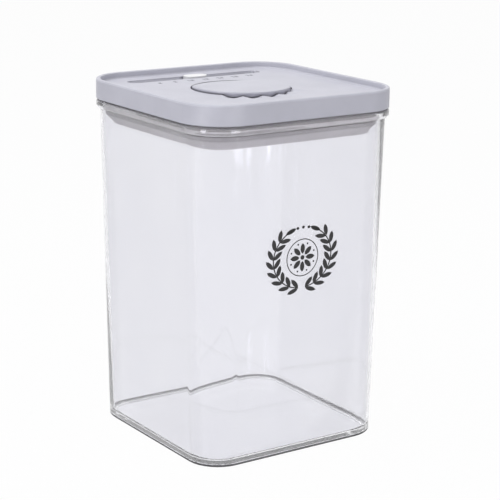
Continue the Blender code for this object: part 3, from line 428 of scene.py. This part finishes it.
def smoothMoulding(name):
    finish, body, slot = mouldings[name]
    piece = copyOf(nodes[name])
    piece.name = name + "_moulding"
    pick(piece)
    bpy.ops.object.mode_set(mode="EDIT")
    bpy.ops.mesh.select_all(action="SELECT")
    bpy.ops.mesh.remove_doubles(threshold=mergeWithin)
    if finish != "clear":  # whole flats shade evenly, and clear walls refract best as they are
        bpy.ops.mesh.dissolve_limited(angle_limit=math.radians(smoothing["flatWithin"]))
    bpy.ops.object.mode_set(mode="OBJECT")
    bpy.ops.object.shade_smooth_by_angle(angle=math.radians(smoothing["smoothUpTo"]))
    flats = piece.modifiers.new("Weighted Normal", "WEIGHTED_NORMAL")
    flats.keep_sharp = True
    applyModifiers(piece)
    finishPiece(piece, finishes[finish], body)
    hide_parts(name)
    return piece


smooth = {name: smoothMoulding(name) for name in mouldings}
print("mouldings made:", len(smooth))


# Print on the front wall: two leafy branches, open at the crown, around an eight-petal rosette.
# Angles are in degrees, and a branch runs from its foot to its tip
wreath = {"middle": (-1 * mm, 103 * mm), "radius": 15.5 * mm, "stem": 0.6 * mm, "foot": -97,
          "tip": 57, "pairs": 8, "firstPair": 1.35, "leaf": (6.2 * mm, 2.2 * mm), "splay": 36,
          "offset": 2 * mm, "endLeaf": 8, "bead": 0.75 * mm, "beadGap": 11, "wide": 1.13,
          "ink": 0.05 * mm, "lift": 0.01 * mm, "span": 15 * mm, "before": -200 * mm}
rosette = {"petals": 8, "petal": (5.6 * mm, 2.6 * mm), "reach": 4.6 * mm, "eye": 1.2 * mm,
           "ring": 9.4 * mm, "line": 0.5 * mm, "bead": 0.5 * mm, "beads": 7.4 * mm}
leafForm = {"corners": 24, "blunt": 0.86, "end": 0.42, "point": 0.07}  # in leaf lengths
dotCorners = 20
smallDotCorners = 12
arcForm = {"step": 4, "fewest": 12, "sliver": 0.01}  # degrees in a step, steps, and start height


def leafShape(length, width):
    deselectAll()
    bpy.ops.mesh.primitive_circle_add(vertices=leafForm["corners"], radius=0.5, fill_type="NGON")
    leaf = bpy.context.object
    bpy.ops.object.mode_set(mode="EDIT")
    bpy.ops.transform.resize(value=(leafForm["blunt"] * length, width, 1))
    for end in (-1, 1):  # draw both ends out to points
        choose(leaf, lambda place: end * place.x > leafForm["end"] * length)
        bpy.ops.transform.translate(value=(end * leafForm["point"] * length, 0, 0))
    bpy.ops.object.mode_set(mode="OBJECT")
    return leaf


def dotShape(radius, place=(0, 0, 0), corners=dotCorners):
    deselectAll()
    bpy.ops.mesh.primitive_circle_add(vertices=corners, radius=radius, fill_type="NGON",
                                      location=place)
    return bpy.context.object


def arcShape(radius, width, start, end):
    steps = max(arcForm["fewest"], round(abs(end - start) / arcForm["step"]))
    deselectAll()
    bpy.ops.mesh.primitive_plane_add(size=width, location=(radius, 0, 0))
    arc = bpy.context.object
    bpy.ops.object.transform_apply(location=True)
    bpy.ops.object.mode_set(mode="EDIT")
    bpy.ops.transform.resize(value=(1, arcForm["sliver"], 1), center_override=(radius, 0, 0))
    choose(arc, lambda place: place.y > 0)
    bpy.ops.mesh.spin(steps=steps, angle=math.radians(end - start), center=(0, 0, 0),
                      axis=(0, 0, 1))
    bpy.ops.object.mode_set(mode="OBJECT")
    arc.rotation_euler = (0, 0, math.radians(start))
    return arc


def onCircle(radius, along):
    return radius * math.cos(along), radius * math.sin(along), 0


def makeWreath():
    leaf = leafShape(*wreath["leaf"])
    gap = (wreath["tip"] - wreath["foot"]) / (wreath["pairs"] + 1)
    branch = [arcShape(wreath["radius"], wreath["stem"], wreath["foot"], wreath["tip"])]
    for k in range(wreath["pairs"]):
        along = math.radians(wreath["foot"] + (k + wreath["firstPair"]) * gap)
        for side in (-1, 1):
            place = onCircle(wreath["radius"] + side * wreath["offset"], along)
            turn = along + math.pi / 2 - side * math.radians(wreath["splay"])
            branch.append(copyOf(leaf, place, turn))
    along = math.radians(wreath["tip"] + wreath["endLeaf"])
    branch.append(copyOf(leaf, onCircle(wreath["radius"], along), along + math.pi / 2))
    bpy.data.objects.remove(leaf)
    right = joinAll("branch", branch)
    left = copyOf(right)
    left.scale = (-1, 1, 1)
    crown = []
    for k in (-1, 0, 1):  # three beads close the crown
        along = math.radians(90 + wreath["beadGap"] * k)
        crown.append(dotShape(wreath["bead"], onCircle(wreath["radius"], along)))
    whole = joinAll("wreath", [right, left, *crown])
    whole.scale = (wreath["wide"], 1, 1)
    return whole


def makeRosette():
    petal = leafShape(*rosette["petal"])
    middle = [dotShape(rosette["eye"]), arcShape(rosette["ring"], rosette["line"], 0, 360)]
    for k in range(rosette["petals"]):
        along = math.tau * k / rosette["petals"]
        middle.append(copyOf(petal, onCircle(rosette["reach"], along), along))
        between = along + math.pi / rosette["petals"]
        middle.append(dotShape(rosette["bead"], onCircle(rosette["beads"], between),
                               smallDotCorners))
    bpy.data.objects.remove(petal)
    return middle


def printOrnament():
    made = joinAll("printed_ornament", [makeWreath(), *makeRosette()])
    bpy.ops.object.mode_set(mode="EDIT")
    bpy.ops.mesh.select_all(action="SELECT")
    bpy.ops.mesh.remove_doubles(threshold=mergeWithin)
    bpy.ops.mesh.normals_make_consistent(inside=False)
    bpy.ops.object.mode_set(mode="OBJECT")
    for face in made.data.polygons:
        if face.normal.z < 0:
            face.flip()
    solid = made.modifiers.new("Solidify", "SOLIDIFY")
    solid.thickness = wreath["ink"]
    solid.offset = 1
    applyModifiers(made)

    across, height = wreath["middle"]  # lay it on the wall, which leans outwards a little
    starts = ((across, wreath["before"], height + part * wreath["span"]) for part in (-1, 1))
    low, high = (surfacePoint(smooth["canister_body"], start, (0, 1, 0)) for start in starts)
    lean = math.atan2(low.y - high.y, high.z - low.z)
    made.rotation_euler = (math.pi / 2 + lean, 0, 0)
    made.location = (across, (low.y + high.y) / 2 - wreath["lift"], height)
    finishPiece(made, finishes["ink"], "canister")
    return made


ornament = printOrnament()
print("print made:", len(ornament.data.polygons), "faces")


# Numerals moulded beside the date slider's channel
numerals = {"days": (0, 5, 10, 15, 20, 25, 30), "pitch": 9.3 * mm, "row": 33.5 * mm,
            "size": 4.2 * mm, "rise": 0.15 * mm, "sunk": 0.1 * mm, "round": 0.04 * mm,
            "curveSteps": 3, "above": 300 * mm}


def mouldNumerals():
    made = []
    for k, day in enumerate(numerals["days"]):
        deselectAll()
        bpy.ops.object.text_add()
        sign = bpy.context.object
        sign.data.body = str(day)
        sign.data.size = numerals["size"]
        sign.data.align_x = "CENTER"
        sign.data.align_y = "CENTER"
        sign.data.extrude = (numerals["rise"] + numerals["sunk"]) / 2
        sign.data.bevel_depth = numerals["round"]
        sign.data.bevel_resolution = 0
        sign.data.resolution_u = numerals["curveSteps"]
        bpy.ops.object.convert(target="MESH")
        sign = bpy.context.object
        across = (k - (len(numerals["days"]) - 1) / 2) * numerals["pitch"]
        sign.location = (across, numerals["row"], 0)
        made.append(sign)
    row = joinAll("date_numerals", made)
    above = (0, numerals["row"], numerals["above"])
    top = surfacePoint(smooth["lid_cover"], above, (0, 0, -1))
    row.location = (0, 0, top.z + (numerals["rise"] - numerals["sunk"]) / 2)
    finishPiece(row, finishes["cover"], "lid")
    return row


print("numerals made:", len(mouldNumerals().data.polygons), "faces")


# Screws: pan heads with a cross recess, facing down, and a thread that cuts its own way into the
# plastic. In the form, the recess and the crown's round are in head radii and head heights
screws = {"liner": {"nodes": ("liner_screw_1", "liner_screw_2", "liner_screw_3", "liner_screw_4"),
                    "body": "lid", "head": 1.5 * mm, "shank": 1.2 * mm, "pitch": 0.9 * mm},
          "lever": {"nodes": ("lever_screw_1", "lever_screw_2"),
                    "body": "lift_disc", "head": 0.9 * mm, "shank": 0.8 * mm, "pitch": 0.7 * mm}}
screwForm = {"headSides": 32, "crown": 0.45, "crownSteps": 4, "recess": (1.15, 0.26, 1.1),
             "core": 0.76, "coreSides": 20, "underHead": 0.8, "tip": 0.6, "threadStart": 0.5,
             "plain": 1.2, "turnSteps": 20, "smoothUpTo": 35}
atEnd = 0.01 * mm  # a corner this near an end belongs to it


def screwHead(look, radius):
    deselectAll()
    bpy.ops.mesh.primitive_cylinder_add(vertices=screwForm["headSides"], radius=radius,
                                        depth=look["head"], location=(0, 0, look["head"] / 2))
    head = bpy.context.object
    bpy.ops.object.transform_apply(location=True)
    bpy.ops.object.mode_set(mode="EDIT")
    choose(head, lambda place: place.z < atEnd)
    bpy.ops.mesh.bevel(offset=screwForm["crown"] * look["head"], segments=screwForm["crownSteps"])
    bpy.ops.object.mode_set(mode="OBJECT")
    arms = []
    wide, thin, deep = screwForm["recess"]
    for turn in (0, math.pi / 2):
        deselectAll()
        bpy.ops.mesh.primitive_cube_add(size=1, rotation=(0, 0, turn))
        arms.append(bpy.context.object)
        arms[-1].scale = (wide * radius, thin * radius, deep * look["head"])
        cut = head.modifiers.new("Recess", "BOOLEAN")
        cut.operation = "DIFFERENCE"
        cut.solver = "EXACT"
        cut.object = arms[-1]
    applyModifiers(head)
    for arm in arms:
        bpy.data.objects.remove(arm)
    return head


def screwShank(core, reach, length):
    deselectAll()
    bpy.ops.mesh.primitive_cylinder_add(vertices=screwForm["coreSides"], radius=core, depth=reach,
                                        location=(0, 0, length - reach / 2))
    shank = bpy.context.object
    bpy.ops.object.transform_apply(location=True)
    bpy.ops.object.mode_set(mode="EDIT")
    choose(shank, lambda place: place.z > length - atEnd)
    bpy.ops.mesh.bevel(offset=screwForm["tip"] * core, segments=1)
    bpy.ops.object.mode_set(mode="OBJECT")
    return shank


def screwThread(look, core, reach):
    deselectAll()
    bpy.ops.mesh.primitive_circle_add(vertices=3, radius=look["shank"] - core,
                                      rotation=(math.pi / 2, 0, 0))
    thread = bpy.context.object
    bpy.ops.object.transform_apply(rotation=True)
    bpy.ops.object.mode_set(mode="EDIT")
    bpy.ops.mesh.select_all(action="SELECT")
    bpy.ops.transform.rotate(value=math.pi / 2, orient_axis="Y", center_override=(0, 0, 0))
    start = look["head"] + screwForm["threadStart"] * look["pitch"]
    bpy.ops.transform.translate(value=(core, 0, start))
    bpy.ops.object.mode_set(mode="OBJECT")
    helix = thread.modifiers.new("Screw", "SCREW")
    helix.screw_offset = look["pitch"]
    helix.iterations = max(1, math.floor(reach / look["pitch"] - screwForm["plain"]))
    helix.steps = helix.render_steps = screwForm["turnSteps"]
    applyModifiers(thread)
    bpy.ops.object.mode_set(mode="EDIT")
    bpy.ops.mesh.select_all(action="SELECT")
    bpy.ops.mesh.fill_holes(sides=4)
    bpy.ops.mesh.select_all(action="SELECT")
    bpy.ops.mesh.normals_make_consistent(inside=False)
    bpy.ops.object.mode_set(mode="OBJECT")
    return thread


def placeScrews(look):
    low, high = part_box(look["nodes"][0])
    length = high[2] - low[2]
    core = screwForm["core"] * look["shank"]
    reach = length - screwForm["underHead"] * look["head"]
    first = joinAll("screw", [screwHead(look, (high[0] - low[0]) / 2),
                              screwShank(core, reach, length),
                              screwThread(look, core, reach)])
    bpy.ops.object.shade_smooth_by_angle(angle=math.radians(screwForm["smoothUpTo"]))
    for name in look["nodes"]:
        low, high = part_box(name)
        place = ((low[0] + high[0]) / 2, (low[1] + high[1]) / 2, low[2])
        piece = copyOf(first, place, turn=low[0] + low[1])  # no two are driven to the same angle
        piece.name = name + "_threaded"
        finishPiece(piece, finishes["screw"], look["body"])
        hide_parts(name)
    bpy.data.objects.remove(first)


for look in screws.values():
    placeScrews(look)
print("screws made:", sum(len(look["nodes"]) for look in screws.values()))


# Studio. A lamp is its name, place, size and power; the camera's angles are in degrees
studio = {"ambient": 0.16, "white": "#ffffff", "paper": "#d8d8dc", "matt": 0.9, "glow": 0.97,
          "floor": 12, "aim": (0, 0, 0.1),
          "lamps": (("overhead", (-0.35, -0.05, 1.5), (1.6, 1.6), 24),
                    ("left", (-0.634, -0.211, 0.125), (0.15, 0.2), 0.7),
                    ("right", (0.05, -0.653, 0.125), (0.15, 0.2), 0.7))}
view = {"place": (-0.46284, -0.68577, 0.30800), "yaw": 34.395, "pitch": -14.493, "roll": 0.69,
        "lens": 117.527, "sensor": 36, "nearest": 0.01}


def backgroundRays(tree):  # 1 for rays of the camera, gloss and glass, which see white behind
    path = addNode(tree, "ShaderNodeLightPath")
    seen = addNode(tree, "ShaderNodeMath", operation="MAXIMUM",
                   links={0: path.outputs["Is Camera Ray"], 1: path.outputs["Is Glossy Ray"]})
    return addNode(tree, "ShaderNodeMath", operation="MAXIMUM",
                   links={0: seen.outputs[0], 1: path.outputs["Is Transmission Ray"]}).outputs[0]


def buildWorld():  # an even soft light on the canister
    world = bpy.data.worlds.new("studio")
    bpy.context.scene.world = world
    world.use_nodes = True
    tree = world.node_tree
    strength = addNode(tree, "ShaderNodeMapRange", {"To Min": studio["ambient"], "To Max": 1},
                       {"Value": backgroundRays(tree)})
    sky = tree.nodes["Background"]
    sky.inputs["Color"].default_value = fromHex(studio["white"])
    tree.links.new(strength.outputs["Result"], sky.inputs["Strength"])


def buildFloor():  # white paper sweep: matt, with a soft shadow
    deselectAll()
    bpy.ops.mesh.primitive_plane_add(size=studio["floor"])
    floor = bpy.context.object
    floor.name = "studio_floor"
    made, tree, shader, _ = newMaterial("white_paper_sweep")
    shader.inputs["Base Color"].default_value = fromHex(studio["paper"])
    shader.inputs["Roughness"].default_value = studio["matt"]
    share = addNode(tree, "ShaderNodeMath", {1: studio["glow"]}, {0: backgroundRays(tree)},
                    operation="MULTIPLY")
    glow = addNode(tree, "ShaderNodeEmission", {"Color": fromHex(studio["white"])})
    mixed = addNode(tree, "ShaderNodeMixShader",
                    links={0: share.outputs[0], 1: shader.outputs[0], 2: glow.outputs[0]})
    tree.links.new(mixed.outputs[0], tree.nodes["Material Output"].inputs["Surface"])
    floor.data.materials.append(made)


def buildLamps():
    for name, place, size, power in studio["lamps"]:
        bpy.ops.object.light_add(type="AREA", location=place)
        lamp = bpy.context.object
        lamp.name = "lamp_" + name
        lamp.data.shape = "RECTANGLE"
        lamp.data.size, lamp.data.size_y = size
        lamp.data.energy = power
        lamp.visible_camera = False
        ahead = Vector(studio["aim"]) - Vector(place)
        lamp.rotation_euler = ahead.to_track_quat("-Z", "Y").to_euler()


def buildCamera():
    yaw, pitch, roll = (math.radians(view[key]) for key in ("yaw", "pitch", "roll"))
    ahead = Vector((math.sin(yaw) * math.cos(pitch), math.cos(yaw) * math.cos(pitch),
                    math.sin(pitch)))
    level = Vector((math.cos(yaw), -math.sin(yaw), 0))
    upright = level.cross(ahead)
    right = level * math.cos(roll) + upright * math.sin(roll)
    up = upright * math.cos(roll) - level * math.sin(roll)
    bpy.ops.object.camera_add(location=view["place"])
    camera = bpy.context.object
    camera.rotation_euler = Matrix((right, up, -ahead)).transposed().to_euler()
    camera.data.lens = view["lens"]
    camera.data.sensor_width = view["sensor"]
    camera.data.clip_start = view["nearest"]
    bpy.context.scene.camera = camera


buildWorld()
buildFloor()
buildLamps()
buildCamera()
bpy.context.scene.view_settings.view_transform = "Standard"
print("studio and camera made")
